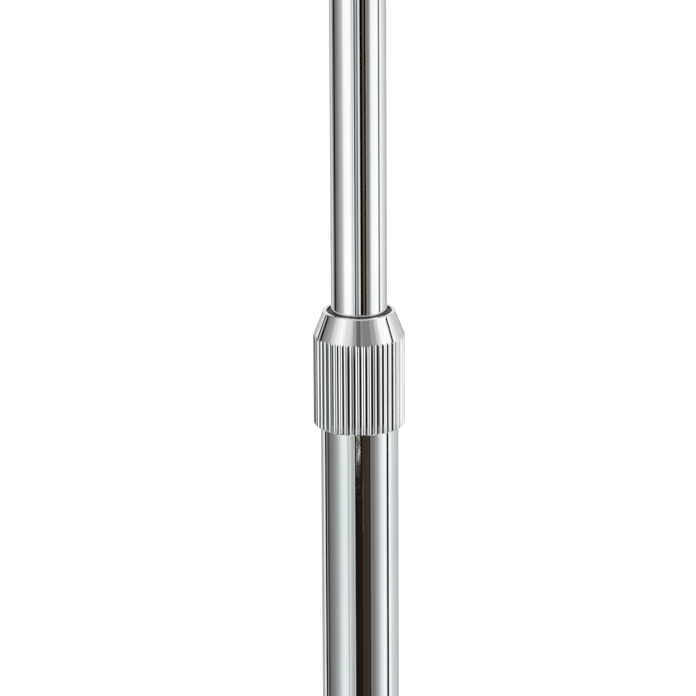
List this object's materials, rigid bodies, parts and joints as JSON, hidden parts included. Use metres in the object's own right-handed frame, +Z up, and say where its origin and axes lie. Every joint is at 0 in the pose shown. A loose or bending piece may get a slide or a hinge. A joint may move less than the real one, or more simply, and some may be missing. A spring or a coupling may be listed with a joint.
{
  "type": "telescopic floor lamp",
  "caption": "Floor lamp with a weighted round base, a two-part chrome pole locked by a fluted twist collar, and a drum shade on a harp.",
  "frame": {"origin": "on the floor at the centre of the base, on the pole's axis", "axes": "+Z up along the pole, the cable outlet on +Y, the switch knob on -Y"},
  "size_m": [0.3999, 0.4, 1.4575],
  "materials": {
    "chrome_plate": "polished",
    "nickel_plate": "satin",
    "bright_zinc": "satin",
    "cast_weight": "matte",
    "felt": "matte",
    "black_rubber": "matte",
    "yellow_brass": "satin",
    "grey_nylon": "satin",
    "white_nylon": "satin",
    "phenolic": "gloss",
    "black_plastic": "satin",
    "liner_paper": "matte",
    "shade_cloth": "matte",
    "shade_sheet": "satin",
    "opal_dome": "satin",
    "bulb_plastic": "satin",
    "black_glass": "gloss"
  },
  "bodies": {
    "pole": {"base_pad": "felt", "base_weight": "cast_weight", "base_cover": "chrome_plate", "base_nipple": "bright_zinc", "base_washer": "bright_zinc", "base_nut": "bright_zinc", "cable_grommet": "black_rubber", "pole_ferrule": "chrome_plate", "pole_foot_plug": "bright_zinc", "lower_tube": "chrome_plate", "neck_bushing": "bright_zinc", "clamp_collet": "grey_nylon"},
    "mast": {"upper_tube": "chrome_plate", "guide_bush": "white_nylon", "tube_top_plug": "bright_zinc", "top_nipple": "bright_zinc", "top_ferrule": "chrome_plate", "harp_saddle": "nickel_plate", "socket_cap": "nickel_plate", "socket_insulator": "phenolic", "terminal_screws": "yellow_brass", "screw_shell": "yellow_brass", "center_contact": "yellow_brass", "socket_liner": "liner_paper", "socket_shell": "nickel_plate", "harp": "nickel_plate", "harp_stud": "nickel_plate", "shade_spider": "nickel_plate", "shade_top_ring": "nickel_plate", "shade_bottom_ring": "nickel_plate", "shade_fabric": "shade_cloth", "shade_liner": "shade_sheet", "finial": "chrome_plate", "bulb_globe": "opal_dome", "bulb_body": "bulb_plastic", "bulb_cap": "nickel_plate", "bulb_insulator": "black_glass", "bulb_tip": "bright_zinc"},
    "slip_ring": {"slip_washer": "yellow_brass"},
    "collar": {"clamp_collar": "chrome_plate"},
    "switch": {"switch_shaft": "yellow_brass", "switch_knob": "black_plastic"},
    "sleeve_left": {"harp_sleeve_left": "nickel_plate"},
    "sleeve_right": {"harp_sleeve_right": "nickel_plate"}
  },
  "joints": [
    {"name": "mast_slide", "type": "slide", "parent": "pole", "child": "mast", "axis": [0, 0, 1], "range_m": [-0.416, 0.199]},
    {"name": "collar_rise", "type": "slide", "parent": "pole", "child": "slip_ring", "axis": [0, 0, 1], "range_m": [0, 0.00075]},
    {"name": "collar_turn", "type": "hinge", "parent": "slip_ring", "child": "collar", "pos_m": [0, 0, 0.7535], "axis": [0, 0, 1], "range_deg": [0, 270]},
    {"name": "switch_turn", "type": "hinge", "parent": "mast", "child": "switch", "pos_m": [0, -0.02, 1.23085], "axis": [0, -1, 0], "continuous": true},
    {"name": "sleeve_left_lift", "type": "slide", "parent": "mast", "child": "sleeve_left", "axis": [0, 0, 1], "range_m": [0, 0.012]},
    {"name": "sleeve_right_lift", "type": "slide", "parent": "mast", "child": "sleeve_right", "axis": [0, 0, 1], "range_m": [0, 0.012]}
  ],
  "couplings": [
    {"joint": "collar_turn", "follows": "collar_rise", "rad_per_m": 6280}
  ]
}
